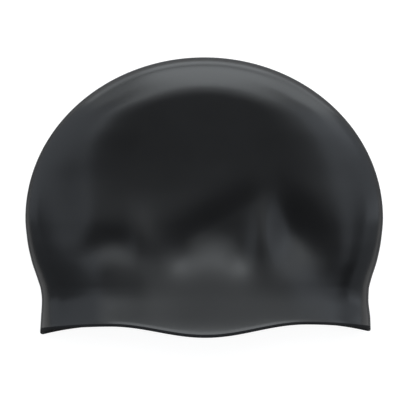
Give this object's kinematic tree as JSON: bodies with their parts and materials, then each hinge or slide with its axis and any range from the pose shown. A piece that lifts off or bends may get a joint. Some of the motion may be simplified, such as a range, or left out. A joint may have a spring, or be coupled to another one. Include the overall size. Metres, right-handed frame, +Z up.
{
  "type": "silicone swim cap",
  "caption": "Plain moulded silicone swim cap with a rounded crown and a wavy thickened rim, lying on its side with the mouth open.",
  "frame": {"origin": "on the surface the cap lies on, under the middle of its box", "axes": "+Z up from the surface, +Y from the open rim towards the crown, +X from the front fold towards the back fold"},
  "size_m": [0.225, 0.176, 0.0299],
  "materials": {
    "silicone": "satin"
  },
  "bodies": {
    "root": {"cap_shell": "silicone"}
  },
  "joints": []
}
